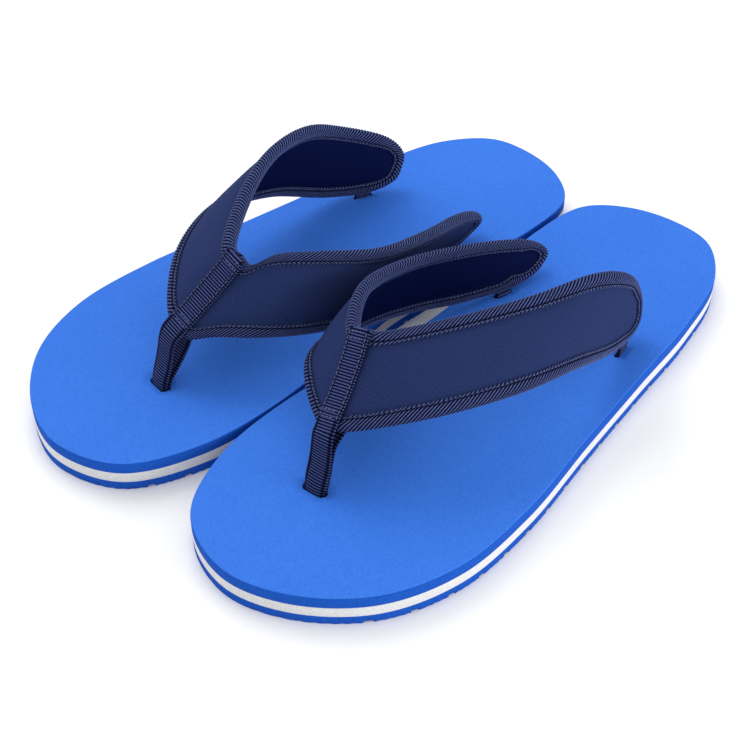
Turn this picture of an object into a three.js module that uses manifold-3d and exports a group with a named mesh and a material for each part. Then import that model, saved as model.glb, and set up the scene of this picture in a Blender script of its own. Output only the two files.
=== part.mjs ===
// A pair of thong flip flops: laminated foam soles with padded cloth straps, bound edges, a sewn
// webbing seam and a webbing toe post. Millimetres, +Z up, toes point to -Y, the left shoe is at +X.
// Each shoe is drawn in its own frame with its outer side at +X, and the right one is then mirrored.
import * as THREE from "three";
import Module from "manifold-3d";

const wasm = await Module();
wasm.setup();

// Driving dimensions.
const glueGap = 0.3;
const outsoleThickness = 3.9;
const midsoleThickness = 4.4;
const footbedThickness = 5.1;
const outlineSteps = 64;

const toeOut = THREE.MathUtils.degToRad(5.8);
const standOff = 48.2;
const stagger = 1.1;

const webbingWidth = 10.4;
const webbingThickness = 1.1;
const bindingThickness = 0.7;
const bindingReach = 5.2;
const clothThickness = 0.6;
const wingHalfThickness = { edge: 1.5, middle: 2.6 };
const bindingHalfGap = wingHalfThickness.edge + glueGap;
const capStart = 0.88;
const capPower = 2.4;
const tipShare = 0.4;
const rootAlong = 0.93;
const wingStations = 15;
const tipStations = 4;
const endCrowding = 0.5;
const layerInset = 0.9;
const layerColumns = [-1, -0.72, -0.36, 0, 0.36, 0.72, 1];
const puffFrom = bindingReach + 1;
const puffTo = bindingReach + 9;

const postHole = new THREE.Vector2(-14, -90);
const postSlit = { width: webbingWidth + 1.4, length: 4.6 };
const tabSlit = { width: 6, length: 14 };
const tabWidth = 11;
const tabThickness = 1.6;
const anchorRadius = 8;
const anchorThickness = 1.6;
const anchorLift = 0.2;
const anchorSegments = 28;
const anchorRecess = { around: 0.5, above: 0.2 };
const slitFloor = 1.4;
const tabFoot = 3.2;
const tabTopGap = 0.9;
const postFoot = 0.8;
const postLayersGap = 0.6;
const postBow = 0.8;
const seamEnds = { top: 0.2, bottom: -1, post: -4.5 };
const overcut = 1;

// Heights of the layers: each sits a glue gap above the one below.
const midsoleBottom = outsoleThickness + glueGap;
const footbedBottom = midsoleBottom + midsoleThickness + glueGap;
const footbedTop = footbedBottom + footbedThickness;

// The sole seen from above, from the toe round the outer side to the heel and back.
const solePoints = [
  [-16, -141], [10, -136], [36, -117], [51, -88], [55, -50], [52.5, -5], [50.5, 40], [49, 80],
  [43, 115], [28, 136], [8, 141], [-14, 137.5], [-31, 125], [-37.5, 95], [-37, 50], [-39, 10],
  [-46, -20], [-54, -60], [-54, -99], [-42, -128.5],
];

// The seam where the two wings meet: from its top, over the foot, to the top of the toe post.
const seamTop = new THREE.Vector3(-20, -50.5, 61);
const seamBottom = new THREE.Vector3(-14.5, -79, 36.5);
const seamAcross = new THREE.Vector3(0.96, 0, 0.28).normalize();
const seamFlat = 6.4;

// Each wing is a band ruled between its upper and lower edge, both listed from the seam to the heel.
// The soft straps of the two shoes don't sit quite alike, so each shoe has its own.
const wingSides = { lateral: 1, medial: -1 };
const wings = {
  left: {
    lateral: {
      upper: [[4, -30, 65.5], [21, -3, 67.3], [31, 22, 66.5], [34.5, 42.5, 56.5], [33.5, 60.5, 39]],
      lower: [[16, -60, 45.5], [34.5, -30, 46.5], [38.5, 2, 38], [36.8, 33, 23.8], [34.2, 61.5, 15.2]],
    },
    medial: {
      upper: [[-38.5, -28, 59], [-42, 3, 50.5], [-36, 34, 42], [-27, 62, 33], [-20, 81, 23.5]],
      lower: [[-42, -60, 38], [-47.5, -30, 32], [-43.5, 0, 24.5], [-33.5, 26, 18.6], [-19, 61, 14.7]],
    },
  },
  right: {
    lateral: {
      upper: [[4, -30, 65.5], [21, -3, 68.5], [31, 24, 64.5], [35, 49, 52], [28, 79, 36]],
      lower: [[14.5, -60, 43.5], [32.5, -30, 43.3], [40, 5, 33.5], [38.5, 38, 19], [27, 69, 14.5]],
    },
    medial: {
      upper: [
        [-30.5, -41.5, 63.5], [-38.5, -27, 62.5], [-42, 3, 51.5],
        [-36, 34, 41.8], [-27, 63, 32.2], [-23, 83, 23],
      ],
      lower: [
        [-29, -71.5, 38], [-42, -58, 38.8], [-47.5, -30, 31],
        [-45, 1, 23.6], [-36, 28, 18.4], [-23, 62, 14.9],
      ],
    },
  },
};

// Materials.
const finish = (color, roughness) =>
  new THREE.MeshStandardMaterial({ color, roughness, metalness: 0 });
const blueFoam = finish(0x2f6fe0, 0.75);
const whiteFoam = finish(0xd9dcdf, 0.75);
const navyCloth = finish(0x2a3358, 0.85);
const navyLining = finish(0x0d1338, 0.6);
const navyTape = finish(0x222b50, 0.8);
const paddingFoam = finish(0x9aa0aa, 0.9);
const bluePlastic = finish(0x1d4fb8, 0.5);

const vec = ([x, y, z]) => new THREE.Vector3(x, y, z);

// A closed solid between two matching grids of points, one on each face of a sheet.
function sheetSolid(front, back) {
  const rows = front.length;
  const columns = front[0].length;
  const positions = [...front.flat(), ...back.flat()].flatMap((p) => p.toArray());
  const at = (face, i, j) => face * rows * columns + i * columns + j;
  const index = [];
  const quad = (a, b, c, d) => index.push(a, b, c, a, c, d);
  for (let i = 0; i < rows - 1; i++) {
    for (let j = 0; j < columns - 1; j++) {
      quad(at(0, i, j), at(0, i, j + 1), at(0, i + 1, j + 1), at(0, i + 1, j));
      quad(at(1, i, j), at(1, i + 1, j), at(1, i + 1, j + 1), at(1, i, j + 1));
    }
    quad(at(0, i, 0), at(0, i + 1, 0), at(1, i + 1, 0), at(1, i, 0));
    const last = columns - 1;
    quad(at(0, i + 1, last), at(0, i, last), at(1, i, last), at(1, i + 1, last));
  }
  for (let j = 0; j < columns - 1; j++) {
    quad(at(0, 0, j + 1), at(0, 0, j), at(1, 0, j), at(1, 0, j + 1));
    const last = rows - 1;
    quad(at(0, last, j), at(0, last, j + 1), at(1, last, j + 1), at(1, last, j));
  }
  return outwards(bufferFrom(positions, index));
}

function bufferFrom(positions, index) {
  const geometry = new THREE.BufferGeometry();
  geometry.setAttribute("position", new THREE.Float32BufferAttribute(positions, 3));
  geometry.setIndex(index);
  return geometry;
}

function manifoldOf(geometry) {
  const merged = weld(geometry.index ? geometry.toNonIndexed() : geometry);
  return new wasm.Manifold(
    new wasm.Mesh({
      numProp: 3,
      vertProperties: new Float32Array(merged.attributes.position.array),
      triVerts: new Uint32Array(merged.index.array),
    }),
  );
}

// Gives corners that lie together one shared number, so that the solid closes.
function weld(geometry) {
  const source = geometry.attributes.position;
  const seen = new Map();
  const positions = [];
  const index = [];
  for (let i = 0; i < source.count; i++) {
    const corner = [source.getX(i), source.getY(i), source.getZ(i)];
    const key = corner.map((value) => value.toFixed(3)).join();
    if (!seen.has(key)) {
      seen.set(key, seen.size);
      positions.push(...corner);
    }
    index.push(seen.get(key));
  }
  return bufferFrom(positions, index);
}

function geometryFrom(solid) {
  const mesh = solid.getMesh();
  return bufferFrom(Array.from(mesh.vertProperties), Array.from(mesh.triVerts));
}

// Turns every face round if the solid came out inside out.
function outwards(geometry) {
  if (manifoldOf(geometry).volume() >= 0) return geometry;
  const order = Array.from(geometry.index.array);
  for (let i = 0; i < order.length; i += 3) order.splice(i, 3, order[i], order[i + 2], order[i + 1]);
  geometry.setIndex(order);
  return geometry;
}

const cut = (geometry, tools) =>
  geometryFrom(tools.reduce((solid, tool) => solid.subtract(manifoldOf(tool)), manifoldOf(geometry)));

// Sole layers.
function soleShape() {
  const points = solePoints.map(([x, y]) => new THREE.Vector3(x, y, 0));
  const curve = new THREE.CatmullRomCurve3(points, true, "centripetal");
  return new THREE.Shape(curve.getSpacedPoints(outlineSteps).slice(0, -1));
}

function soleLayer(bottom, thickness, cutters) {
  const layer = new THREE.ExtrudeGeometry(soleShape(), {
    depth: thickness,
    bevelEnabled: false,
  }).translate(0, 0, bottom);
  return cut(layer, cutters);
}

function boxAt(x, y, z, width, length, height) {
  return new THREE.BoxGeometry(width, length, height).translate(x, y, z);
}

function drum(x, y, bottom, radius, height) {
  return new THREE.CylinderGeometry(radius, radius, height, anchorSegments)
    .rotateX(Math.PI / 2)
    .translate(x, y, bottom + height / 2);
}

// The narrow cuts that the toe post and the two strap tabs go down through.
function strapCutters(surfaces, bottom, top) {
  const tabs = surfaces.map((surface) => {
    const root = surface.point(rootAlong, -1);
    return slitAt(root, tabSlit, bottom, top);
  });
  return [slitAt(postHole, postSlit, bottom, top), ...tabs];
}

function slitAt(place, slit, bottom, top) {
  return boxAt(place.x, place.y, (bottom + top) / 2, slit.width, slit.length, top - bottom);
}

// Shallow grooves across the underside, stopped short of the toe and the heel.
const groove = { pitch: 14, length: 140, width: 3, depth: 1.2, from: -119, count: 18 };

function outsole() {
  const grooves = Array.from({ length: groove.count }, (_, i) =>
    boxAt(0, groove.from + i * groove.pitch, 0, groove.length, groove.width, groove.depth * 2),
  );
  const recessRadius = anchorRadius + anchorRecess.around;
  const recessHeight = overcut + anchorLift + anchorThickness + anchorRecess.above;
  return soleLayer(0, outsoleThickness, [
    ...grooves,
    drum(postHole.x, postHole.y, -overcut, recessRadius, recessHeight),
    slitAt(postHole, postSlit, -overcut, midsoleBottom + overcut),
  ]);
}

function midsole(surfaces) {
  return soleLayer(midsoleBottom, midsoleThickness, [
    ...strapCutters(surfaces, midsoleBottom + slitFloor, footbedBottom + overcut),
    slitAt(postHole, postSlit, outsoleThickness, footbedBottom),
  ]);
}

function footbed(surfaces) {
  const cutters = strapCutters(surfaces, footbedBottom - overcut, footbedTop + overcut);
  return soleLayer(footbedBottom, footbedThickness, cutters);
}

// Wings.
function edgeCurve(seamEnd, side, points) {
  const start = seamEnd.clone().addScaledVector(seamAcross, side * glueGap);
  const flat = seamEnd.clone().addScaledVector(seamAcross, side * seamFlat);
  return new THREE.CatmullRomCurve3([start, flat, ...points.map(vec)], false, "centripetal");
}

// The wing's middle surface: along runs from the seam (0) to the heel end (1), across from the lower
// edge (-1) to the upper edge (1). The heel end is rounded off.
function wingSurface(side, { upper, lower }) {
  const upperEdge = edgeCurve(seamTop, side, upper);
  const lowerEdge = edgeCurve(seamBottom, side, lower);
  const span = 1 - Math.pow(tipShare, capPower);
  function share(along) {
    const over = Math.max(0, (along - capStart) / (1 - capStart));
    return Math.pow(1 - span * Math.pow(over, capPower), 1 / capPower);
  }
  function point(along, across) {
    const top = upperEdge.getPointAt(along);
    const bottom = lowerEdge.getPointAt(along);
    return bottom.lerp(top, 0.5 + 0.5 * across * share(along));
  }
  function normal(along, across) {
    const before = point(Math.max(0, along - 0.01), across);
    const after = point(Math.min(1, along + 0.01), across);
    const rise = point(along, 1).sub(point(along, -1));
    return after.sub(before).cross(rise).multiplyScalar(side).normalize();
  }
  const width = (along) => point(along, 1).distanceTo(point(along, -1));
  return { point, normal, width };
}

const steps = (count) => Array.from({ length: count }, (_, i) => i / (count - 1));

// Stations along the wing, closer together where its end is rounded.
const alongs = steps(wingStations).map((u) =>
  THREE.MathUtils.lerp(u, Math.sin((u * Math.PI) / 2), endCrowding),
);

// The outline from the seam along the upper edge, round the end and back along the lower edge.
function wingOutline(surface) {
  const tip = steps(tipStations + 2).slice(1, -1);
  return [
    ...alongs.map((along) => [along, 1]),
    ...tip.map((t) => [1, 1 - 2 * t]),
    ...alongs.toReversed().map((along) => [along, -1]),
  ].map(([along, across]) => ({ along, across, place: surface.point(along, across) }));
}

// Half of the wing's thickness at a point: thin under the binding and the seam, full in the middle.
function halfThickness(place, outline) {
  const nearest = Math.min(...outline.map((station) => station.place.distanceTo(place)));
  const rise = THREE.MathUtils.smoothstep(nearest, puffFrom, puffTo);
  return THREE.MathUtils.lerp(wingHalfThickness.edge, wingHalfThickness.middle, rise);
}

// One cloth or foam layer of a wing, between two distances from its middle surface.
function wingLayer(surface, lowFrom, highFrom) {
  const outline = wingOutline(surface);
  const length = surface.point(0, 0).distanceTo(surface.point(1, 0));
  const reach = 1 - layerInset / length;
  const grids = [lowFrom, highFrom].map((distance) =>
    alongs.map((u) => {
      const along = u * reach;
      const room = 1 - (2 * layerInset) / surface.width(along);
      return layerColumns.map((column) => {
        const across = column * room;
        const place = surface.point(along, across);
        return place.addScaledVector(surface.normal(along, across), distance(place, outline));
      });
    }),
  );
  return sheetSolid(grids[1], grids[0]);
}

function wingCover(surface) {
  const inner = (place, outline) => halfThickness(place, outline) - clothThickness;
  return wingLayer(surface, inner, halfThickness);
}

function wingPadding(surface) {
  const face = (place, outline) => halfThickness(place, outline) - clothThickness - glueGap;
  return wingLayer(surface, (place, outline) => -face(place, outline), face);
}

function wingLining(surface) {
  const outer = (place, outline) => clothThickness - halfThickness(place, outline);
  return wingLayer(surface, (place, outline) => -halfThickness(place, outline), outer);
}

// One leg of the folded tape: how far in from the wing's edge, and the share of its lift.
const bindingLegs = [[bindingReach, 1], [0.8, 1], [0, 0.5]];

// The folded tape that wraps the wing's whole edge, as a channel open towards the middle.
function wingBinding(surface) {
  const near = bindingLegs.map(([reach, lift]) => [reach, -lift]).reverse();
  const legs = [...bindingLegs, ...near];
  const ring = ({ along, across, place }, outer) => {
    const inner = Math.min(along, capStart);
    const centre = surface.point(inner, 0);
    const outward = place.clone().sub(centre).normalize();
    return legs.map(([reach, lift]) => {
      const share = reach / place.distanceTo(centre);
      const spot = [THREE.MathUtils.lerp(along, inner, share), across * (1 - share)];
      return surface
        .point(...spot)
        .addScaledVector(surface.normal(...spot), (bindingHalfGap + outer) * lift)
        .addScaledVector(outward, reach ? 0 : outer);
    });
  };
  const outline = wingOutline(surface);
  return sheetSolid(
    outline.map((station) => ring(station, bindingThickness)),
    outline.map((station) => ring(station, 0)),
  );
}

// A flat strap along a line of points, with one width direction and one thickness direction a point.
function flatStrap(stations, width, thickness) {
  const face = (lift) =>
    stations.map(({ place, across, up }) =>
      [-0.5, 0, 0.5].map((share) =>
        place.clone().addScaledVector(across, share * width).addScaledVector(up, lift),
      ),
    );
  return sheetSolid(face(thickness / 2), face(-thickness / 2));
}

const seamLine = seamTop.clone().sub(seamBottom).normalize();
const seamUp = seamLine.clone().cross(seamAcross).negate().normalize();

// The webbing sewn over the seam, on the outside of both wings.
function seamWebbing() {
  const lift = bindingHalfGap + bindingThickness + glueGap + webbingThickness / 2;
  const ends = [
    seamTop.clone().addScaledVector(seamLine, seamEnds.top),
    seamBottom.clone().addScaledVector(seamLine, seamEnds.bottom),
  ];
  const stations = ends.map((place) => ({
    place: place.addScaledVector(seamUp, lift),
    across: seamAcross,
    up: seamUp,
  }));
  return flatStrap(stations, webbingWidth, webbingThickness);
}

// Both layers of the toe post webbing, side by side, from the wings down into the sole.
function toePost() {
  const top = seamBottom.clone().addScaledVector(seamLine, seamEnds.post);
  const bottom = new THREE.Vector3(postHole.x, postHole.y, anchorThickness + postFoot);
  const knee = new THREE.Vector3(postHole.x, postHole.y, footbedTop);
  const middle = top.clone().lerp(knee, 0.5).add(new THREE.Vector3(0, postBow, 0));
  const level = new THREE.Vector3(1, 0, 0);
  const front = new THREE.Vector3(0, -1, 0);
  const stations = [
    { place: bottom, across: level, up: front },
    { place: knee, across: level, up: front },
    { place: middle, across: level.clone().lerp(seamAcross, 0.5).normalize(), up: front },
    { place: top, across: seamAcross, up: front },
  ];
  return flatStrap(stations, webbingWidth, 2 * webbingThickness + postLayersGap);
}

// The moulded disc under the sole that keeps the toe post from pulling through.
function toeAnchor() {
  return drum(postHole.x, postHole.y, anchorLift, anchorRadius, anchorThickness);
}

// The sewn tab that goes from the wing's lower edge down through the footbed.
function anchorTab(surface) {
  const edge = surface.point(rootAlong, -1);
  const along = surface.point(1, -1).sub(surface.point(capStart, -1)).setZ(0).normalize();
  const up = along.clone().cross(new THREE.Vector3(0, 0, 1));
  const heights = [midsoleBottom + tabFoot, footbedTop, edge.z - bindingThickness - tabTopGap];
  const stations = heights.map((z) => ({ place: edge.clone().setZ(z), across: along, up }));
  return flatStrap(stations, tabWidth, tabThickness);
}

// One shoe: every piece by name, with its shape and its material.
function shoePieces(shoeWings) {
  const surfaces = Object.entries(wingSides).map(([name, side]) => ({
    name,
    surface: wingSurface(side, shoeWings[name]),
  }));
  const bands = surfaces.map(({ surface }) => surface);
  const pieces = {
    outsole: [outsole(), blueFoam],
    midsole: [midsole(bands), whiteFoam],
    footbed: [footbed(bands), blueFoam],
    toe_anchor: [toeAnchor(), bluePlastic],
    toe_post: [toePost(), navyTape],
    seam_webbing: [seamWebbing(), navyTape],
  };
  for (const { name, surface } of surfaces) {
    pieces[`${name}_cover`] = [wingCover(surface), navyCloth];
    pieces[`${name}_padding`] = [wingPadding(surface), paddingFoam];
    pieces[`${name}_lining`] = [wingLining(surface), navyLining];
    pieces[`${name}_binding`] = [wingBinding(surface), navyTape];
    pieces[`${name}_anchor_tab`] = [anchorTab(surface), navyTape];
  }
  return pieces;
}

const pair = new THREE.Group();
for (const [foot, side] of Object.entries({ left: 1, right: -1 })) {
  const shoe = new THREE.Group();
  shoe.scale.x = side;
  shoe.rotation.z = side * toeOut;
  shoe.position.set(side * standOff, side * stagger, 0);
  for (const [name, [geometry, material]] of Object.entries(shoePieces(wings[foot]))) {
    const mesh = new THREE.Mesh(geometry, material);
    mesh.name = `${foot}_${name}`;
    shoe.add(mesh);
  }
  pair.add(shoe);
}

// Puts the origin under the middle of the pair.
const middle = new THREE.Box3().setFromObject(pair, true).getCenter(new THREE.Vector3()).setZ(0);
for (const shoe of pair.children) shoe.position.sub(middle);

export default pair;
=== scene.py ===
import math

import bmesh
import bpy
import numpy as np
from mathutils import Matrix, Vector


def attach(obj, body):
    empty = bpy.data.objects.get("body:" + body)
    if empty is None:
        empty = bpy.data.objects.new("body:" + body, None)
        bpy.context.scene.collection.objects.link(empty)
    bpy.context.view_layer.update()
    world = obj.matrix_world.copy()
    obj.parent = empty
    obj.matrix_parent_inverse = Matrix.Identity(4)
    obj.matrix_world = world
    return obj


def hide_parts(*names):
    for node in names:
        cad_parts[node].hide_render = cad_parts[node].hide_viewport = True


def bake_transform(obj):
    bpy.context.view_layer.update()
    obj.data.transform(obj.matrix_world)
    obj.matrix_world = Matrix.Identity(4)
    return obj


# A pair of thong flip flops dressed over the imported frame.
# Shapes are drawn in millimetres for the left shoe (outer side +X, toes -Y) and placed for each foot.
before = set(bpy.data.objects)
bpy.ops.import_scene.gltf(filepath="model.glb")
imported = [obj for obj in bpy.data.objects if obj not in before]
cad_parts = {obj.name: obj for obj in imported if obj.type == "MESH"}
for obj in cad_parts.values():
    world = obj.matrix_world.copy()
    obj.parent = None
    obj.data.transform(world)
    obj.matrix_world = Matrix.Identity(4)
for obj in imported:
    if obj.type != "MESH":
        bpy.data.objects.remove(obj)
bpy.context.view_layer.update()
print("frame loaded:", len(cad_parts), "nodes")

pair = {
    "feet": {"left": 1, "right": -1},  # the right shoe is the left one mirrored
    "toeOut": math.radians(5.8),
    "standOff": 48.2,
    "forward": {"left": 1.45, "right": -0.75},
}


def spline(points, closed=False, fine=24):
    # smooth line through the points, each row a place and anything else that runs along with it
    p = np.array(points, float)
    if closed:
        p = np.vstack([p[-1], p, p[0], p[1]])
    else:
        p = np.vstack([2 * p[0] - p[1], p, 2 * p[-1] - p[-2]])
    t = np.linspace(0, 1, fine, endpoint=False)[:, None]
    runs = []
    for a, b, c, d in zip(p, p[1:], p[2:], p[3:]):
        ta, tb, tc = (np.linalg.norm(v - u) ** 0.5 for u, v in ((a, b), (b, c), (c, d)))
        leave = ((b - a) / ta - (c - a) / (ta + tb) + (c - b) / tb) * tb
        arrive = ((c - b) / tb - (d - b) / (tb + tc) + (d - c) / tc) * tb
        runs.append(
            (2 * t**3 - 3 * t**2 + 1) * b
            + (t**3 - 2 * t**2 + t) * leave
            + (3 * t**2 - 2 * t**3) * c
            + (t**3 - t**2) * arrive
        )
    return np.vstack([*runs, p[-2]])


def lengths(line):
    return np.r_[0, np.cumsum(np.linalg.norm(np.diff(line[:, :3], axis=0), axis=1))]


def evenly(line):
    # the line read by its share of length, 0 at one end and 1 at the other
    run = lengths(line)
    return lambda u: np.stack([np.interp(u, run / run[-1], part) for part in line.T], axis=-1)


def unit(v):
    return v / np.maximum(np.linalg.norm(v, axis=-1, keepdims=True), 1e-9)


def smoothStep(x, low, high):
    t = np.clip((x - low) / (high - low), 0, 1)
    return t * t * (3 - 2 * t)


def ringFaces(rings, around):
    # quads between closed rings, and a cap on each end
    i, j = np.meshgrid(np.arange(rings - 1), np.arange(around), indexing="ij")
    a = i * around + j
    b = i * around + (j + 1) % around
    quads = np.stack([a, b, b + around, a + around], axis=-1).reshape(-1, 4).tolist()
    last = (rings - 1) * around
    return quads + [list(range(around))[::-1], list(range(last, last + around))]


def placed(points, foot):
    side = pair["feet"][foot]
    turn = side * pair["toeOut"]
    x, y = points[..., 0] * side, points[..., 1]
    return np.stack(
        [
            side * pair["standOff"] + x * math.cos(turn) - y * math.sin(turn),
            pair["forward"][foot] + x * math.sin(turn) + y * math.cos(turn),
            points[..., 2],
        ],
        axis=-1,
    )


def addPiece(name, foot, points, faces, finish, uv=None):
    mesh = bpy.data.meshes.new(name)
    world = placed(np.asarray(points, float).reshape(-1, 3), foot) * 0.001
    mesh.from_pydata(world.tolist(), [], faces)
    if uv is not None:
        corner = np.zeros(len(mesh.loops), int)
        mesh.loops.foreach_get("vertex_index", corner)
        threads = mesh.uv_layers.new(name="threads")
        threads.data.foreach_set("uv", np.asarray(uv, float).reshape(-1, 2)[corner].ravel())
    bm = bmesh.new()
    bm.from_mesh(mesh)
    bmesh.ops.recalc_face_normals(bm, faces=bm.faces)
    bm.to_mesh(mesh)
    bm.free()
    mesh.shade_smooth()
    mesh.materials.append(finish)
    piece = bpy.data.objects.new(name, mesh)
    bpy.context.scene.collection.objects.link(piece)
    return piece


def blankFinish(name, **sockets):
    made = bpy.data.materials.new(name)
    made.use_nodes = True
    shader = made.node_tree.nodes["Principled BSDF"]
    for label, value in sockets.items():
        shader.inputs[label.replace("_", " ")].default_value = value
    return made, made.node_tree, shader


def addNode(tree, kind, inputs=None, **settings):
    made = tree.nodes.new(kind)
    for name, value in settings.items():
        setattr(made, name, value)
    for name, value in (inputs or {}).items():
        if isinstance(value, bpy.types.NodeSocket):
            tree.links.new(value, made.inputs[name])
        else:
            made.inputs[name].default_value = value
    return made


def noise(tree, place, scale, detail=3):
    made = addNode(tree, "ShaderNodeTexNoise", {"Vector": place, "Scale": scale, "Detail": detail})
    return made.outputs["Fac"]


def sums(tree, operation, first, second=0.0):
    return addNode(tree, "ShaderNodeMath", {0: first, 1: second}, operation=operation).outputs[0]


def ramp(tree, factor, stops):
    made = addNode(tree, "ShaderNodeValToRGB", {"Fac": factor})
    for spot, (at, colour) in zip(made.color_ramp.elements, stops):
        spot.position = at
        spot.color = (*colour, 1)
    return made.outputs["Color"]


def blended(tree, factor, first, second, kind="MIX"):
    made = addNode(
        tree,
        "ShaderNodeMix",
        {"Factor": factor, 6: first, 7: second},
        data_type="RGBA",
        blend_type=kind,
    )
    return made.outputs[2]


def bumped(tree, height, distance, strength=1.0, under=None):
    inputs = {"Height": height, "Distance": distance, "Strength": strength}
    if under is not None:
        inputs["Normal"] = under
    return addNode(tree, "ShaderNodeBump", inputs).outputs["Normal"]


def waves(tree, along, pitch):
    # a sine from -1 to 1 that comes back every pitch
    turned = sums(tree, "MULTIPLY", along, 2 * math.pi / pitch)
    return addNode(tree, "ShaderNodeMath", {0: turned}, operation="COSINE").outputs[0]


def foamFinish(name, light, dark, rough, grain):
    made, tree, shader = blankFinish(name, Roughness=rough, Specular_IOR_Level=0.06)
    place = addNode(tree, "ShaderNodeTexCoord").outputs["Object"]
    mottle = ramp(tree, noise(tree, place, 1100, 5), [(0.35, dark), (0.65, light)])
    clouds = ramp(tree, noise(tree, place, 22, 4), [(0.3, (0.93, 0.95, 0.97)), (0.62, (1, 1, 1))])
    colour = blended(tree, 1.0, mottle, clouds, "MULTIPLY")
    pores = addNode(tree, "ShaderNodeTexVoronoi", {"Vector": place, "Scale": 420.0})
    specks = ramp(tree, pores.outputs["Distance"], [(0.03, (0.72, 0.78, 0.86)), (0.09, (1, 1, 1))])
    tree.links.new(blended(tree, 0.5, colour, blended(tree, 1.0, colour, specks, "MULTIPLY")),
                   shader.inputs["Base Color"])
    skin = bumped(tree, noise(tree, place, 1500, 4), 0.0001, grain)
    tree.links.new(bumped(tree, noise(tree, place, 90, 2), 0.0003, 0.25, skin), shader.inputs["Normal"])
    return made


def clothFinish(name, light, dark, sheen, thread):
    # plain weave: threads over and under each other, a thread width apart, on the map in millimetres
    made, tree, shader = blankFinish(
        name, Roughness=0.85, Specular_IOR_Level=0.03, Sheen_Weight=sheen, Sheen_Roughness=0.45,
        Sheen_Tint=(0.35, 0.45, 0.95, 1),
    )
    place = addNode(tree, "ShaderNodeUVMap", uv_map="threads").outputs["UV"]
    parts = addNode(tree, "ShaderNodeSeparateXYZ", {0: place})
    weave = sums(tree, "MULTIPLY", waves(tree, parts.outputs["X"], 2 * thread),
                 waves(tree, parts.outputs["Y"], 2 * thread))
    fuzz = noise(tree, place, 2.0, 5)
    level = sums(tree, "ADD", sums(tree, "MULTIPLY", weave, 0.16), fuzz)
    tree.links.new(ramp(tree, level, [(0.3, dark), (0.7, light)]), shader.inputs["Base Color"])
    tree.links.new(bumped(tree, level, 0.00012, 0.6), shader.inputs["Normal"])
    return made


def ribbedFinish(name, light, dark, groove):
    # a rib comes once every whole step of the map's first coordinate, the second is millimetres across;
    # the groove that the stitching pulls in at that distance from the middle gets painted shade
    made, tree, shader = blankFinish(
        name, Roughness=0.8, Specular_IOR_Level=0.03, Sheen_Weight=0.03, Sheen_Roughness=0.4,
        Sheen_Tint=(0.45, 0.52, 0.95, 1),
    )
    place = addNode(tree, "ShaderNodeUVMap", uv_map="threads").outputs["UV"]
    parts = addNode(tree, "ShaderNodeSeparateXYZ", {0: place})
    rib = waves(tree, parts.outputs["X"], 1.0)
    cross = waves(tree, parts.outputs["Y"], 0.42)
    fuzz = noise(tree, place, 3.0, 4)
    level = sums(tree, "ADD", sums(tree, "MULTIPLY", rib, 0.42), fuzz)
    level = sums(tree, "ADD", level, sums(tree, "MULTIPLY", cross, 0.1))
    fromMiddle = addNode(tree, "ShaderNodeMath", {0: parts.outputs["Y"]}, operation="ABSOLUTE").outputs[0]
    off = sums(tree, "SUBTRACT", fromMiddle, groove)
    off = addNode(tree, "ShaderNodeMath", {0: off}, operation="ABSOLUTE").outputs[0]
    # painted shade along the groove the stitches pull in
    paintedGrooveShade = ramp(tree, off, [(0.4, (0.16, 0.18, 0.26)), (0.85, (1, 1, 1))])
    # rib valleys painted darker and ridges lighter (painted shade and highlight on the ribs), with noise
    # for thread tone
    colour = ramp(tree, level, [(0.38, dark), (0.92, light)])
    tree.links.new(blended(tree, 1.0, colour, paintedGrooveShade, "MULTIPLY"), shader.inputs["Base Color"])
    tree.links.new(bumped(tree, level, 0.00014, 0.8), shader.inputs["Normal"])
    return made


def threadFinish(name, light, dark):
    made, tree, shader = blankFinish(name, Roughness=0.6, Specular_IOR_Level=0.15)
    place = addNode(tree, "ShaderNodeTexCoord").outputs["Object"]
    twist = noise(tree, place, 3500, 2)
    tree.links.new(ramp(tree, twist, [(0.35, dark), (0.65, light)]), shader.inputs["Base Color"])
    tree.links.new(bumped(tree, twist, 0.00006, 0.8), shader.inputs["Normal"])
    return made


def plasticFinish(name, light, dark):
    made, tree, shader = blankFinish(name, Roughness=0.38)
    place = addNode(tree, "ShaderNodeTexCoord").outputs["Object"]
    cloud = noise(tree, place, 260, 4)
    tree.links.new(ramp(tree, cloud, [(0.3, dark), (0.7, light)]), shader.inputs["Base Color"])
    tree.links.new(bumped(tree, noise(tree, place, 1200, 3), 0.00005, 0.6), shader.inputs["Normal"])
    return made


finishes = {
    "blueFoam": foamFinish("blue foam", (0.045, 0.186, 0.73), (0.036, 0.162, 0.66), 0.7, 0.35),
    # darker copy of the blue foam for the steep faces: painted shade, since these sides face away from the
    # light
    "paintedSideShadeFoam": foamFinish("cut side of blue foam", (0.012, 0.092, 0.48), (0.008, 0.074, 0.41), 0.8, 0.7),
    "whiteFoam": foamFinish("white foam", (0.72, 0.72, 0.73), (0.62, 0.62, 0.63), 0.75, 0.6),
    "outerCloth": clothFinish(
        "navy outer cloth", (0.026, 0.042, 0.132), (0.008, 0.016, 0.066), 0.02, 0.34
    ),
    "innerCloth": clothFinish(
        "navy lining cloth", (0.003, 0.008, 0.052), (0.0008, 0.003, 0.026), 0.0, 0.26
    ),
    "edgeTape": ribbedFinish("navy edge tape", (0.08, 0.108, 0.265), (0.001, 0.003, 0.024), 6.15),
    "webbing": ribbedFinish("navy webbing", (0.066, 0.092, 0.24), (0.001, 0.003, 0.026), 4.1),
    "thread": threadFinish("navy thread", (0.15, 0.18, 0.36), (0.05, 0.065, 0.17)),
    "padFoam": foamFinish("grey pad foam", (0.35, 0.36, 0.38), (0.25, 0.26, 0.28), 0.85, 0.8),
    "plastic": plasticFinish("blue plastic", (0.03, 0.12, 0.5), (0.022, 0.09, 0.42)),
}
print("finishes made:", len(finishes))


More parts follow.
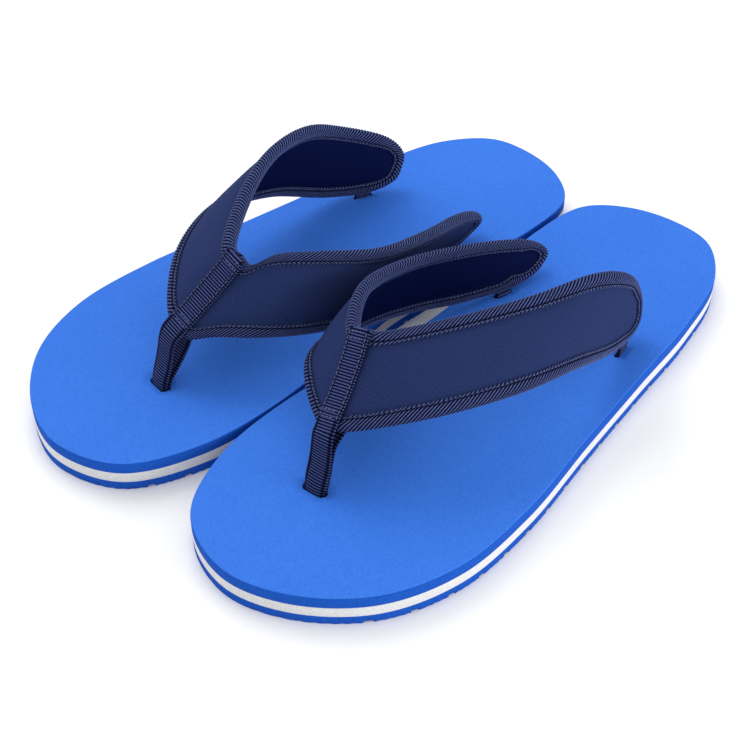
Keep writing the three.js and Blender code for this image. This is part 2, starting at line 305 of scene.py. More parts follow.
sole = {
    "points": [
        (-16, -141), (10, -136), (36, -117), (51, -88), (55, -50), (52.5, -5), (50.5, 40), (49, 80),
        (43, 115), (28, 136), (8, 141), (-14, 137.5), (-31, 125), (-37.5, 95), (-37, 50), (-39, 10),
        (-46, -20), (-54, -60), (-54, -99), (-42, -128.5),
    ],
    "stations": 420,
    "outsole": (0.0, 4.03),  # bottom and top of each glued layer
    "midsole": (4.07, 8.73),
    "footbed": (8.77, 14.0),
    "nick": 0.16,  # rounding along a glue line
    "topRound": 0.75,
    "floorRound": 0.25,
    "groove": {"from": -119, "pitch": 14, "count": 18, "width": 3, "depth": 1.2, "wall": 0.12, "lip": 0.1},
    "tread": {"from": (-141, 142), "pitch": 2.8, "depth": 0.5, "clear": 0.4},
    "slitSteps": [0, 0.15, 0.4, 0.8, 1.3, 1.9, 2.6, 3.4, 4.4, 5.2],  # rings out from a slit, dense near it
    "slitFloor": 0.4,  # how far above the layer's bottom a slit stops
    "toeHole": {
        "at": (-14, -90.4), "turn": 0.0, "half": (5.5, 2.4), "corner": 2.3, "dip": 0.9, "reach": 6.0,
    },
    "tabHole": {"half": (1.05, 4.7), "corner": 0.8, "dip": 0.5, "reach": 3.0},
    "button": {"radius": 8.0, "low": 0.2, "high": 1.8, "recess": 8.5, "recessTop": 2.0},
}


def soleRim(inset):
    line = evenly(spline([(x, y, 0) for x, y in sole["points"]], closed=True))
    u = np.arange(sole["stations"]) / sole["stations"]
    step = 1 / sole["stations"]
    ahead = unit(line((u + step) % 1) - line((u - step) % 1))
    outward = np.stack([ahead[:, 1], -ahead[:, 0], np.zeros(len(u))], axis=-1)
    return line(u) - outward * inset


def slitRing(hole, offset, z):
    # a rounded slit in the footbed, grown by offset
    angle = np.linspace(0, 2 * math.pi, 48, endpoint=False) + 0.01
    (a, b), r = hole["half"], hole["corner"]
    x = np.sign(np.cos(angle)) * (a - r) + (r + offset) * np.cos(angle)
    y = np.sign(np.sin(angle)) * (b - r) + (r + offset) * np.sin(angle)
    c, s = math.cos(hole["turn"]), math.sin(hole["turn"])
    pucker = 0.16 * np.sin(3 * angle + 0.6) + 0.1 * np.sin(7 * angle + 2.0)
    depth = np.exp(-((offset / 2.1) ** 2)) * (hole["dip"] + pucker) * (offset < hole["reach"])
    return np.stack([hole["at"][0] + x * c - y * s, hole["at"][1] + x * s + y * c, z - depth], axis=-1)


def edgeLoop(bm, ring):
    return [bm.edges.get((a, b)) or bm.edges.new((a, b)) for a, b in zip(ring, ring[1:] + ring[:1])]


def bridge(bm, low, high, smooth=True):
    for a, b, c, d in zip(low, low[1:] + low[:1], high[1:] + high[:1], high):
        bm.faces.new((a, b, c, d)).smooth = smooth


def layerMesh(profile, holes=()):
    # side wall from the bottom rim up, a flat bottom and a top that may have slits in it
    bm = bmesh.new()
    rings = []
    for inset, z in profile:
        points = soleRim(inset)
        rings.append([bm.verts.new((p[0], p[1], z)) for p in points])
    for low, high in zip(rings, rings[1:]):
        bridge(bm, low, high)
    bm.faces.new(rings[0][::-1]).smooth = False
    top = profile[-1][1]
    border = edgeLoop(bm, rings[-1])
    for hole in holes:
        offsets = [o for o in [*sole["slitSteps"], hole["reach"]] if o <= hole["reach"]]
        funnel = [[bm.verts.new(p) for p in slitRing(hole, offset, top)] for offset in offsets]
        wall = [bm.verts.new((v.co.x, v.co.y, profile[0][1] + sole["slitFloor"])) for v in funnel[0]]
        bm.faces.new(wall).smooth = False
        for inner, outer in zip([wall] + funnel, funnel):
            bridge(bm, outer, inner)
        border += edgeLoop(bm, funnel[-1])
    cap = bmesh.ops.triangle_fill(bm, use_beauty=True, use_dissolve=False, edges=border)
    for face in cap["geom"]:
        if isinstance(face, bmesh.types.BMFace):
            face.smooth = False
    bmesh.ops.recalc_face_normals(bm, faces=bm.faces)
    return bm


def sidewall(low, high, lowRound, highRound):
    # (inset, height) up the cut side of a layer, with its two edges rounded
    turns = np.linspace(0, math.pi / 2, 5)
    rise = [(lowRound * (1 - math.sin(t)), low + lowRound * (1 - math.cos(t))) for t in turns]
    end = [(highRound * (1 - math.cos(t)), high - highRound * (1 - math.sin(t))) for t in turns]
    return rise + end


def treadLines():
    # where the underside changes height, and how high it is there
    groove, tread = sole["groove"], sole["tread"]
    half, wall = groove["width"] / 2, groove["wall"]
    lines = []
    centres = [groove["from"] + i * groove["pitch"] for i in range(groove["count"])]
    for y in np.arange(*tread["from"], tread["pitch"] / 2):
        if min(abs(y - c) for c in centres) > half + tread["clear"]:
            lines.append((y, tread["depth"] * (len(lines) % 2)))
    for c in centres:
        lines += [(c - half, groove["lip"]), (c - half + wall, groove["depth"]),
                  (c + half - wall, groove["depth"]), (c + half, groove["lip"])]
    return sorted(lines)


def cutTread(bm):
    lines = treadLines()
    for y, _ in lines:
        everything = bm.verts[:] + bm.edges[:] + bm.faces[:]
        bmesh.ops.bisect_plane(bm, geom=everything, plane_co=(0, y, 0), plane_no=(0, 1, 0))
    ys, heights = zip(*lines)
    for v in bm.verts:
        if v.co.z < 2:
            v.co.z = max(v.co.z, float(np.interp(v.co.y, ys, heights)))


def roundCutter(at, radius, low, high):
    bm = bmesh.new()
    bmesh.ops.create_cone(bm, cap_ends=True, segments=64, radius1=radius, radius2=radius, depth=high - low)
    bmesh.ops.translate(bm, verts=bm.verts, vec=(at[0], at[1], (low + high) / 2))
    return bm


def finishSole(name, foot, bm, finish, cutter=None):
    # finish gives the skin and, after it, the finish for the steep faces (for blue foam, a darker copy
    # with painted shade)
    mesh = bpy.data.meshes.new(name)
    bm.to_mesh(mesh)
    bm.free()
    piece = bpy.data.objects.new(name, mesh)
    bpy.context.scene.collection.objects.link(piece)
    if cutter:
        tool = bpy.data.objects.new("cutter", bpy.data.meshes.new("cutter"))
        cutter.to_mesh(tool.data)
        cutter.free()
        bpy.context.scene.collection.objects.link(tool)
        cut = piece.modifiers.new("cut", "BOOLEAN")
        cut.operation, cut.solver, cut.object = "DIFFERENCE", "EXACT", tool
        bpy.context.view_layer.update()
        solved = piece.evaluated_get(bpy.context.evaluated_depsgraph_get())
        piece.data = bpy.data.meshes.new_from_object(solved)
        piece.modifiers.clear()
        bpy.data.objects.remove(tool)
    co = np.zeros(len(piece.data.vertices) * 3)
    piece.data.vertices.foreach_get("co", co)
    piece.data.vertices.foreach_set("co", (placed(co.reshape(-1, 3), foot) * 0.001).ravel())
    if pair["feet"][foot] < 0:
        piece.data.flip_normals()
    piece.data.materials.clear()
    for part in finish:
        piece.data.materials.append(finishes[part])
    for face in piece.data.polygons:
        # steep faces take the last finish: for blue foam that is the darker copy with painted shade
        face.material_index = len(finish) - 1 if abs(face.normal.z) < 0.6 else 0
    return piece


def toeButton(foot):
    # moulded disc with a raised rim and a domed middle, turned round the toe hole
    size = sole["button"]
    r, low, high = size["radius"], size["low"], size["high"]
    profile = [
        (0.05, high), (r - 0.4, high), (r, high - 0.4), (r, low + 0.35), (r - 0.3, low), (r - 1.2, low),
        (r - 1.6, low + 0.45), (r - 2.6, low + 0.5), (2.4, low + 0.18), (0.05, low + 0.12),
    ]
    angle = np.linspace(0, 2 * math.pi, 56, endpoint=False)
    at = sole["toeHole"]["at"]
    rings = np.array(
        [[(at[0] + d * math.cos(a), at[1] + d * math.sin(a), z) for a in angle] for d, z in profile]
    )
    piece = addPiece(f"{foot}_toe_button", foot, rings, ringFaces(*rings.shape[:2]), finishes["plastic"])
    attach(piece, f"sole_{foot}")
    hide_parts(f"{foot}_toe_anchor")


def buildSole(foot, tabHoles):
    nick, hole = sole["nick"], sole["toeHole"]
    parts = {
        "footbed": (
            layerMesh(sidewall(*sole["footbed"], nick, sole["topRound"]), [hole, *tabHoles]),
            ["blueFoam", "paintedSideShadeFoam"],
        ),
        "midsole": (layerMesh(sidewall(*sole["midsole"], nick, nick)), ["whiteFoam"]),
        "outsole": (
            layerMesh(sidewall(*sole["outsole"], sole["floorRound"], nick)), ["blueFoam", "paintedSideShadeFoam"]
        ),
    }
    cutTread(parts["outsole"][0])
    size = sole["button"]
    for part, (bm, finish) in parts.items():
        cutter = None
        if part == "outsole":
            cutter = roundCutter(hole["at"], size["recess"], -1, size["recessTop"])
        piece = finishSole(f"{foot}_{part}_foam", foot, bm, finish, cutter)
        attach(piece, f"sole_{foot}")
        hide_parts(f"{foot}_{part}")
    toeButton(foot)


seam = {
    "top": np.array([-20, -50.5, 61.0]),
    "bottom": np.array([-14.5, -79, 36.5]),
    "across": unit(np.array([0.96, 0, 0.28])),
    "gap": 0.3,
    "flat": 5.2,
}
seam["line"] = unit(seam["top"] - seam["bottom"])
seam["long"] = float(np.linalg.norm(seam["top"] - seam["bottom"]))
seam["up"] = unit(np.cross(seam["across"], seam["line"]))

wingSides = {"lateral": 1, "medial": -1}  # outer and inner side of the foot
# edge lines from the seam to the heel end; cut is the flat cloth: width, length and share of that box
wings = {
    "left": {
        "lateral": {
            "upper": [
                (4, -30, 65.5), (21, -3, 67.3), (31, 22, 66.5), (34.5, 42.5, 56.5),
                (33.5, 60.5, 39),
            ],
            "lower": [
                (16, -60, 45.5), (34.5, -30, 46.5), (38.5, 2, 38), (36.8, 33, 23.8),
                (34.2, 61.5, 15.2),
            ],
            "cut": (34, 150, 0.93),
        },
        "medial": {
            "upper": [(-38.5, -28, 59), (-42, 3, 50.5), (-36, 34, 42), (-27, 62, 33), (-20, 81, 23.5)],
            "lower": [
                (-42, -60, 38), (-47.5, -30, 32), (-43.5, 0, 24.5), (-33.5, 26, 18.6),
                (-19, 61, 14.7),
            ],
            "cut": (29, 150, 0.93),
        },
    },
    "right": {
        "lateral": {
            "upper": [(4, -30, 65.5), (21, -3, 68.5), (31, 24, 64.5), (35, 49, 52), (28, 79, 36)],
            "lower": [
                (14.5, -60, 43.5), (32.5, -30, 43.3), (40, 5, 33.5), (38.5, 38, 19),
                (27, 69, 14.5),
            ],
            "cut": (36, 164, 0.93),
        },
        "medial": {
            "upper": [
                (-30.5, -41.5, 63.5), (-38.5, -27, 62.5), (-42, 3, 51.5), (-36, 34, 41.8), (-27, 63, 32.2),
                (-23, 83, 23),
            ],
            "lower": [
                (-29, -71.5, 38), (-42, -58, 38.8), (-47.5, -30, 31), (-45, 1, 23.6), (-36, 28, 18.4),
                (-23, 62, 14.9),
            ],
            "cut": (30, 152, 0.93),
        },
    },
}
roundEnd = {"start": 0.88, "power": 2.4, "share": 0.4, "soften": 5.0, "step": 0.25}  # the last two in mm


class Wing:
    # a band between two edge lines: along goes from the seam (0) to the heel end (1), w from -1 to 1
    def __init__(self, foot, name):
        self.name = name
        wing = wings[foot][name]
        self.side = wingSides[name]
        self.cut = wing["cut"]
        ends = {"upper": seam["top"], "lower": seam["bottom"]}
        self.lines = {}
        for edge, end in ends.items():
            start = [end + seam["across"] * self.side * d for d in (seam["gap"], seam["flat"])]
            self.lines[edge] = evenly(spline([*start, *wing[edge]]))
        along = np.linspace(0, 1, 500)
        share = self.share(along)
        tip = np.linspace(share[-1], -share[-1], 60)[1:-1]
        outline = np.vstack(
            [np.c_[along, share], np.c_[np.ones(len(tip)), tip], np.c_[along, -share][::-1]]
        )
        run = lengths(self.place(outline[:, 0], outline[:, 1]))
        self.long = run[-1]
        even = np.linspace(0, run[-1], int(run[-1] / roundEnd["step"]))
        wide = int(roundEnd["soften"] / roundEnd["step"]) | 1  # odd, so that it is centred
        soft = []
        for part in outline.T:
            padded = np.pad(np.interp(even, run, part), wide // 2, "reflect", reflect_type="odd")
            soft.append(np.convolve(padded, np.ones(wide) / wide, "valid"))
        self.even, self.soft = even, soft
        self.rim = self.place(*[part[::4] for part in soft])

    def share(self, along):
        # share of the width left at a spot along the band, which tapers round the heel end
        over = np.clip((along - roundEnd["start"]) / (1 - roundEnd["start"]), 0, 1)
        p, s = roundEnd["power"], roundEnd["share"]
        return (1 - (1 - s**p) * over**p) ** (1 / p)

    def place(self, along, w):
        low, high = self.lines["lower"](along), self.lines["upper"](along)
        return low + (high - low) * (0.5 + 0.5 * np.asarray(w)[..., None])

    def normal(self, along, w):
        ahead = self.place(np.minimum(1, along + 0.01), w) - self.place(np.maximum(0, along - 0.01), w)
        rise = self.lines["upper"](along) - self.lines["lower"](along)
        return unit(np.cross(ahead, rise) * self.side)

    def edge(self, s):
        # the outline by length: up from the seam along the top, round the heel end and back
        s = np.clip(s, 0, self.long)
        return [np.interp(s, self.even, part) for part in self.soft]

    def inward(self, s, reach):
        # spot on the band at a distance in from the outline
        along, w = self.edge(s)
        hub = np.minimum(along, roundEnd["start"])
        far = np.linalg.norm(self.place(along, w) - self.place(hub, 0 * hub), axis=-1)
        part = np.maximum(reach, 0) / far
        return along + (hub - along) * part, w * (1 - part)

    def skin(self, s, reach, lift):
        # point over the outline, reach in from it and lift off the middle of the band
        spot = self.inward(s, reach)
        along, w = self.edge(s)
        hub = np.minimum(along, roundEnd["start"])
        outward = unit(self.place(along, w) - self.place(hub, 0 * hub))
        beyond = np.maximum(-np.asarray(reach, float), 0)[..., None]
        return self.place(*spot) + self.normal(*spot) * np.asarray(lift)[..., None] + outward * beyond

    def fromRim(self, points):
        # distance of each point from the outline
        flat = points.reshape(-1, 3)
        nearest = np.min(np.linalg.norm(flat[:, None] - self.rim[None], axis=-1), axis=1)
        return nearest.reshape(points.shape[:-1])


padding = {
    "rows": 130,
    "columns": 37,
    "inset": 1.5,
    "edge": 1.5,  # half thickness where the tape grips it
    "middle": 2.65,
    "seam": 1.75,  # half thickness under the webbing
    "seamFade": (4.0, 13.0),  # from the seam, where the pinch starts to ease and where it ends
    "swell": (5.3, 2.6),  # in from the edge, where the pad starts to rise and how gently
    "cloth": 0.5,
    "foamInset": 2.2,
    "foamGap": 0.1,  # between the pad and each cloth
}


def puff(wing, points, along):
    # half thickness of the padded band: pinched at the tape and the seam, full in between
    off = wing.fromRim(points)
    start, ease = padding["swell"]
    rise = 1 - np.exp(-np.maximum(off - start, 0) / ease)
    full = padding["edge"] + (padding["middle"] - padding["edge"]) * rise
    pinch = 1 - smoothStep(along * wing.long / 2, *padding["seamFade"])
    return full + (np.minimum(full, padding["seam"]) - full) * pinch


def bandGrid(wing, inset):
    step = np.linspace(0, 1, padding["rows"])
    step = 0.65 * step + 0.35 * np.sin(step * math.pi / 2)  # rows closer together at the round end
    half = np.linalg.norm(wing.lines["upper"](0.4) - wing.lines["lower"](0.4)) / 2
    along = (step * (1 - 2 * inset / wing.long))[:, None] * np.ones(padding["columns"])
    column = np.linspace(-1, 1, padding["columns"])[None]
    w = column * (wing.share(along) - inset / half)
    return along, w


def bandLayer(name, foot, wing, finish, low, high, inset):
    # closed layer of the band between two shares of its half thickness, given as (share, offset)
    along, w = bandGrid(wing, inset)
    middle = wing.place(along, w)
    normal = wing.normal(along, w)
    half = puff(wing, middle, along)
    faces = [middle + normal * (share * half + offset)[..., None] for share, offset in (high, low)]
    rings = np.concatenate([faces[0], faces[1][:, ::-1]], axis=1)
    width = np.linalg.norm(wing.lines["upper"](along) - wing.lines["lower"](along), axis=-1)
    threads = np.stack([along * wing.long / 2, w * width / 2], axis=-1)
    threads = np.concatenate([threads, threads[:, ::-1]], axis=1)
    return addPiece(name, foot, rings, ringFaces(*rings.shape[:2]), finishes[finish], threads)


tape = {
    "pitch": 1.7,  # along the edge, from rib to rib
    "lean": 0.85,  # how far a rib moves along for each millimetre across
    "ribHeight": 0.24,
    "outer": [
        (5.22, 1.6), (5.3, 1.95), (5.12, 2.24), (4.75, 2.34), (4.38, 2.06), (3.95, 2.38), (3.0, 2.5),
        (1.8, 2.52), (1.0, 2.36), (0.3, 1.98), (-0.25, 1.4), (-0.58, 0.72), (-0.7, 0),
    ],
    "inner": [(4.9, 1.56), (2.0, 1.6), (0.8, 1.3), (0.3, 0.7), (0.15, 0)],
    "stitchReach": 4.38,
    "stitchLift": 2.14,
}


def bothFlanks(half):
    # the tape's section: one flank out to the fold, then the same on the other face
    return np.array(half + [(reach, -lift) for reach, lift in half[-2::-1]])


def edgeTape(foot, wing):
    outer, inner = bothFlanks(tape["outer"]), bothFlanks(tape["inner"])[::-1]
    v = lengths(outer)
    v -= v[-1] / 2
    slope = np.gradient(outer, axis=0)
    outNormal = unit(np.stack([slope[:, 1], -slope[:, 0]], axis=-1))
    outNormal[[0, 1, -2, -1]] *= -1  # the lips lean in where the tape meets the cloth
    fade = smoothStep(np.abs(v).max() - np.abs(v), 0.1, 0.9)
    quarter = np.arange(int(wing.long / tape["pitch"]) * 4 + 1) / 4  # four rings to a rib
    base = quarter * tape["pitch"]
    lean = wing.side * pair["feet"][foot] * tape["lean"]  # the rings lean with the twill
    s = base[:, None] + lean * v[None]
    ridge = tape["ribHeight"] * np.cos(2 * math.pi * quarter)[:, None] * fade
    grown = outer[None] + ridge[..., None] * outNormal[None]
    front = wing.skin(s, grown[..., 0], grown[..., 1])
    sBack = base[:, None] + lean * np.linspace(v[-1], v[0], len(inner))
    back = wing.skin(sBack, *(np.broadcast_to(part, sBack.shape) for part in inner.T))
    rings = np.concatenate([front, back], axis=1)
    ribs, across = np.broadcast_arrays(quarter[:, None], v)
    threads = np.concatenate([np.stack([ribs, across], axis=-1), np.zeros((*sBack.shape, 2))], axis=1)
    name = f"{foot}_{wing.name}_edge_tape"
    return addPiece(name, foot, rings, ringFaces(*rings.shape[:2]), finishes["edgeTape"], threads)


stitch = {
    "pitch": 2.0,
    "long": 1.55,
    "radius": 0.17,
    "sides": 6,
    # share of the stitch's length, lift and size, the last two in thread radiuses
    "shape": [
        (0.0, -0.9, 0.55), (0.12, 0.1, 0.95), (0.5, 0.45, 1.0), (0.88, 0.1, 0.95), (1.0, -0.9, 0.55),
    ],
}


def stitches(name, foot, rows):
    # rows of thread: each row gives where its stitches start and end and which way is out
    shape, sides, radius = stitch["shape"], stitch["sides"], stitch["radius"]
    angle = np.linspace(0, 2 * math.pi, sides, endpoint=False)
    stitchFaces = ringFaces(len(shape), sides)
    points, faces = [], []
    for start, end, up in rows:
        side = unit(np.cross(end - start, up))
        for k in range(len(start)):
            first = len(points) * len(shape) * sides
            rings = [
                start[k] + (end[k] - start[k]) * t + up[k] * (radius * (lift + size * math.sin(a)))
                + side[k] * (radius * size * math.cos(a))
                for t, lift, size in shape
                for a in angle
            ]
            points.append(rings)
            faces += [[first + i for i in face] for face in stitchFaces]
    return addPiece(name, foot, np.array(points).reshape(-1, 3), faces, finishes["thread"])



def stitchRow(line):
    # cuts a line of points into stitches
    run = lengths(line)
    starts = np.arange(0.3, run[-1] - stitch["long"], stitch["pitch"])
    ends = starts + stitch["long"]
    return [np.stack([np.interp(s, run, part) for part in line.T], axis=-1) for s in (starts, ends)]


def tapeStitches(foot, wing):
    rows = []
    s = np.arange(0, wing.long, 0.5)
    for face in (1, -1):
        reach = np.full_like(s, tape["stitchReach"])
        low = wing.skin(s, reach, np.full_like(s, face * tape["stitchLift"]))
        high = wing.skin(s, reach, np.full_like(s, face * (tape["stitchLift"] + 1)))
        start, end = stitchRow(low)
        count = min(len(start), len(stitchRow(high)[0]))
        near = np.argmin(np.linalg.norm(start[:count, None] - low[None], axis=-1), axis=1)
        rows.append((start[:count], end[:count], unit(high[near] - low[near])))
    return stitches(f"{foot}_{wing.name}_tape_stitches", foot, rows)


webbing = {
    "thickness": 1.1,
    "pitch": 1.15,
    "ribHeight": 0.11,
    "columns": 14,
}


def strap(name, foot, stops, thickness=webbing["thickness"]):
    # each stop down the strap: place, across direction, width and cup (how far the middle bulges out)
    line = evenly(spline([np.r_[place, across, width, cup] for place, across, width, cup in stops]))
    quarter = np.arange(int(lengths(line(np.linspace(0, 1, 400)))[-1] / webbing["pitch"]) * 4 + 1) / 4
    at = line(np.linspace(0, 1, len(quarter)))
    place, width, cup = at[:, :3], at[:, 6:7], at[:, 7:8]
    ahead = unit(np.gradient(place, axis=0))
    across = unit(at[:, 3:6] - ahead * (at[:, 3:6] * ahead).sum(1, keepdims=True))
    up = np.cross(ahead, across)
    column = np.linspace(-1, 1, webbing["columns"])
    column = np.sign(column) * (1 - (1 - np.abs(column)) ** 1.3)
    body = (1 - np.abs(column) ** 8) ** 0.5 * 0.5 * thickness
    rib = np.cos(2 * math.pi * quarter)[:, None]
    lift = body + rib * webbing["ribHeight"] * smoothStep(1 - np.abs(column), 0.0, 0.12)
    spread = column * width / 2 * (1 + 0.012 * rib)
    middle = place[:, None] + across[:, None] * spread[..., None]
    bulge = cup * (1 - column**2)
    rings = [(middle + up[:, None] * (bulge + face * lift)[..., None])[:, ::face] for face in (1, -1)]
    rings = np.concatenate(rings, axis=1)
    ribs = np.broadcast_to(quarter[:, None], spread.shape)
    threads = np.stack([ribs, column * width / 2], axis=-1)
    threads = np.concatenate([threads, threads[:, ::-1]], axis=1)
    return addPiece(name, foot, rings, ringFaces(*rings.shape[:2]), finishes["webbing"], threads)


def onSeam(along, lift, aside=0.0):
    return seam["bottom"] + seam["line"] * along + seam["up"] * lift + seam["across"] * aside


toeStrap = {
    "width": 10.4,
    # distance from the seam's top and lift: the end folded under, then down the seam
    "folded": [(-4, 3.05), (-0.9, 3.1), (-0.3, 3.7), (-0.9, 4.3), (-4, 4.15)],
    "down": [(-10, 3.3), (-19, 2.9), (-28, 3.0), (-34, 3.6)],
    "under": [(14, -3.1), (8, -3.1), (2.5, -3.45)],  # the back layer, from the seam's bottom
    "post": [  # place, width and cup of the front layer, down into the toe hole
        (-15.15, -81.9, 38.6, 10.5, 0), (-14.8, -83.8, 36.8, 10.4, 0.1), (-14.4, -85.2, 33.6, 10.2, 0.2),
        (-14.1, -86.3, 28.5, 10.3, 0.3), (-14, -87.8, 22.5, 10.7, 0.5), (-14, -89.6, 17.5, 10.4, 1.0),
        (-14, -90.5, 13.6, 9.7, 1.3), (-14, -90.6, 8, 9.7, 1.3), (-14, -90.6, 3, 9.7, 1.3),
    ],
    "back": {  # the layer behind stands off more on the right shoe
        "left": [
            (-13.9, -79.2, 33.8, 10.4, 0), (-14.1, -82.9, 31, 10.2, 0.2), (-14.1, -84.9, 26.6, 10, 0.3),
            (-14, -86.4, 22, 10.2, 0.5), (-14, -88.1, 17, 10.1, 1.0),
        ],
        "right": [
            (-13.75, -76.4, 33.6, 10.5, 0), (-13.6, -77.7, 30.6, 10.6, 0.1),
            (-13.5, -79.9, 26.6, 10.6, 0.3), (-13.7, -83.6, 21.5, 10.4, 0.5), (-14, -87.4, 17, 10.1, 1.0),
        ],
    },
    "backEnd": [(-14, -88.95, 13.4, 9.7, 1.3), (-14, -89.0, 8, 9.7, 1.3), (-14, -89.0, 3, 9.7, 1.3)],
    "level": np.array([1.0, 0, 0]),
    "bend": [(-14, -90), (-14.5, -81.5, 33.0)],  # where the sole's share ends and the strap's begins
    "stitchAside": 4.1,
    "barHalf": 3.8,
    "bars": [-2.0, -4.6],  # rows of stitches across, from the seam's top
    "lowBars": [3.0, 5.6],  # and from its bottom
}


def downPost(points, steps):
    # stops down to the toe hole, turning level on the way
    stops = []
    for k, (x, y, z, wide, cup) in enumerate(points):
        turn = smoothStep(k, 0, steps)
        across = unit(seam["across"] * (1 - turn) + toeStrap["level"] * turn)
        stops.append((np.array([x, y, z]), across, wide, cup))
    return stops


def buildToeStrap(foot):
    long, width, across = seam["long"], toeStrap["width"], seam["across"]
    seamStops = toeStrap["folded"] + toeStrap["down"]
    onto = [(onSeam(long + t, lift), across, width, 0) for t, lift in seamStops]
    front = strap(f"{foot}_toe_strap_front", foot, onto + downPost(toeStrap["post"], 5))
    under = [(onSeam(t, lift), across, width, 0) for t, lift in toeStrap["under"]]
    down = downPost(toeStrap["back"][foot] + toeStrap["backEnd"], 4)
    back = strap(f"{foot}_toe_strap_back", foot, under + down)
    for piece in (front, back):
        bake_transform(piece)
    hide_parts(f"{foot}_seam_webbing", f"{foot}_toe_post")
    piece = stitches(f"{foot}_seam_stitches", foot, seamStitches(long))
    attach(piece, f"upper_{foot}")


def seamLift(t):
    # height of the webbing's outer face over the seam, t from the seam's top
    stops = sorted([(-4, 4.15), (-0.9, 4.3), *toeStrap["down"]])
    return np.interp(t, *zip(*stops)) + webbing["thickness"] / 2 + webbing["ribHeight"]


def seamStitches(long):
    aside, half = toeStrap["stitchAside"], toeStrap["barHalf"]
    down = np.arange(-long + 2.5, -1.0, 0.5)
    over = np.arange(-half, half + 0.1, 0.4)
    bars = toeStrap["bars"] + [t - long for t in toeStrap["lowBars"]]
    lines = [[(t, side) for t in down] for side in (-aside, aside)]
    lines += [[(t, side) for side in over] for t in bars]
    rows = []
    for line in lines:
        start, end = stitchRow(np.array([onSeam(long + t, seamLift(t), side) for t, side in line]))
        rows.append((start, end, np.broadcast_to(seam["up"], start.shape)))
    return rows


tab = {
    "along": 0.93,
    "forward": 2.4,
    "width": 8.6,
    "thickness": 1.5,
    "tuck": 0.6,
    "bottom": 9.5,
    "bow": [0, 0.8, 0.7, 0.1, 0, 0],  # how far it leans out, from the band down
}


def tabPlace(wing):
    # where the band's lower edge meets the tab, and the level direction along it towards the heel
    ends = np.array([roundEnd["start"], 1.0])
    low = wing.place(ends, -wing.share(ends))
    flat = unit((low[1] - low[0]) * [1, 1, 0])
    along = np.array(tab["along"])
    return wing.place(along, -wing.share(along)) - flat * tab["forward"], flat


def tabHole(wing):
    spot, flat = tabPlace(wing)
    turn = math.atan2(flat[1], flat[0]) - math.pi / 2
    return {**sole["tabHole"], "at": (spot[0], spot[1]), "turn": turn}


def buildTab(foot, wing):
    spot, flat = tabPlace(wing)
    lean = np.cross(flat, [0, 0, 1.0]) * 0.5
    bow = tab["bow"]
    heights = np.linspace(spot[2] - tab["tuck"], tab["bottom"], len(bow))
    stops = [
        (np.array([spot[0], spot[1], z]) + lean * b, flat, tab["width"] - 0.4 * b, 0.3 * b)
        for z, b in zip(heights, bow)
    ]
    piece = strap(f"{foot}_{wing.name}_tab", foot, stops, tab["thickness"])
    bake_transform(piece)  # glued in at its foot
    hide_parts(f"{foot}_{wing.name}_anchor_tab")


def buildWing(foot, wing):
    body = f"upper_{foot}"
    name = f"{foot}_{wing.name}"
    cloth, inset = padding["cloth"], padding["inset"]
    core = cloth + padding["foamGap"]
    foam = bandLayer(f"{name}_pad", foot, wing, "padFoam", (-1, core), (1, -core), padding["foamInset"])
    outer = bandLayer(f"{name}_outer_cloth", foot, wing, "outerCloth", (1, -cloth), (1, 0), inset)
    inner = bandLayer(f"{name}_inner_cloth", foot, wing, "innerCloth", (-1, 0), (-1, cloth), inset)
    edge = edgeTape(foot, wing)
    thread = tapeStitches(foot, wing)
    for piece, node, slot in (
        (foam, "padding", "padding_foam"),
        (outer, "cover", "navy_cloth"),
        (inner, "lining", "navy_lining"),
        (edge, "binding", "navy_tape"),
        (thread, None, "navy_tape"),
    ):
        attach(piece, body)
        if node:
            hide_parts(f"{name}_{node}")


for foot in pair["feet"]:
    bands = [Wing(foot, name) for name in wingSides]
    buildSole(foot, [tabHole(band) for band in bands])
    print(foot, "sole made")
    for band in bands:
        buildWing(foot, band)
        buildTab(foot, band)
    buildToeStrap(foot)
    print(foot, "straps made")


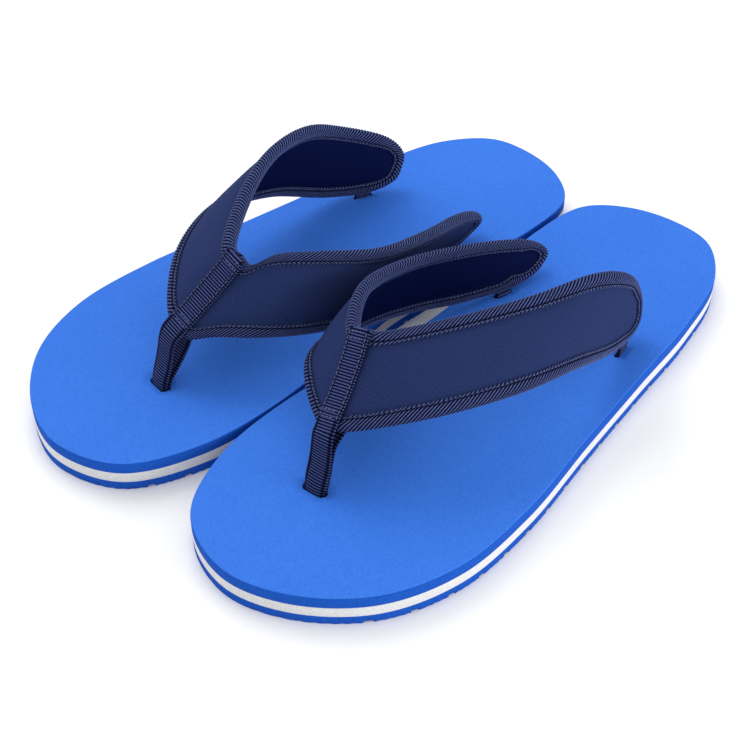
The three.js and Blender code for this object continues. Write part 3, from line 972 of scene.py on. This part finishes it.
studio = {
    "floor": (0.95, 0.95, 0.95),
    "world": 0.9,
    "lamps": {  # power, size, place, what it points at
        "key": (6.0, 0.9, (-0.75, 0.25, 1.05), (0, 0, 0.02)),
        "right": (13.0, 0.8, (1.35, 0.4, 0.2), (0, 0, 0.02)),
        "left": (4.0, 0.8, (-1.3, -0.5, 0.2), (0, 0, 0.02)),
    },
    "camera": {"turn": 43.8, "rise": 42.1, "away": 0.614, "target": (0.0053, -0.0178, 0.0), "lens": 70.2},
}


def aim(thing, place, target):
    thing.location = place
    thing.rotation_euler = (Vector(target) - Vector(place)).to_track_quat("-Z", "Y").to_euler()


def buildStudio():
    floorMesh = bpy.data.meshes.new("floor")
    floorMesh.from_pydata([(-6, -6, 0), (6, -6, 0), (6, 6, 0), (-6, 6, 0)], [], [(0, 1, 2, 3)])
    floor = bpy.data.objects.new("floor", floorMesh)
    bpy.context.scene.collection.objects.link(floor)
    made, _, _ = blankFinish("pale floor", Base_Color=(*studio["floor"], 1), Roughness=0.9)
    floorMesh.materials.append(made)
    for name, (power, size, place, target) in studio["lamps"].items():
        lamp = bpy.data.lights.new(name, "AREA")
        lamp.energy, lamp.size = power, size
        holder = bpy.data.objects.new(name, lamp)
        bpy.context.scene.collection.objects.link(holder)
        aim(holder, place, target)
    world = bpy.data.worlds.new("studio")
    world.use_nodes = True
    world.node_tree.nodes["Background"].inputs["Color"].default_value = (1, 1, 1, 1)
    world.node_tree.nodes["Background"].inputs["Strength"].default_value = studio["world"]
    bpy.context.scene.world = world
    bpy.context.scene.view_settings.view_transform = "Standard"


def buildCamera():
    view = studio["camera"]
    turn, rise = math.radians(view["turn"]), math.radians(view["rise"])
    back = Vector((math.sin(turn) * math.cos(rise), -math.cos(turn) * math.cos(rise), math.sin(rise)))
    place = Vector(view["target"]) + view["away"] * back
    lens = bpy.data.cameras.new("camera")
    lens.lens, lens.sensor_width = view["lens"], 36
    camera = bpy.data.objects.new("camera", lens)
    bpy.context.scene.collection.objects.link(camera)
    aim(camera, place, view["target"])
    bpy.context.scene.camera = camera


buildStudio()
buildCamera()
print("studio ready")
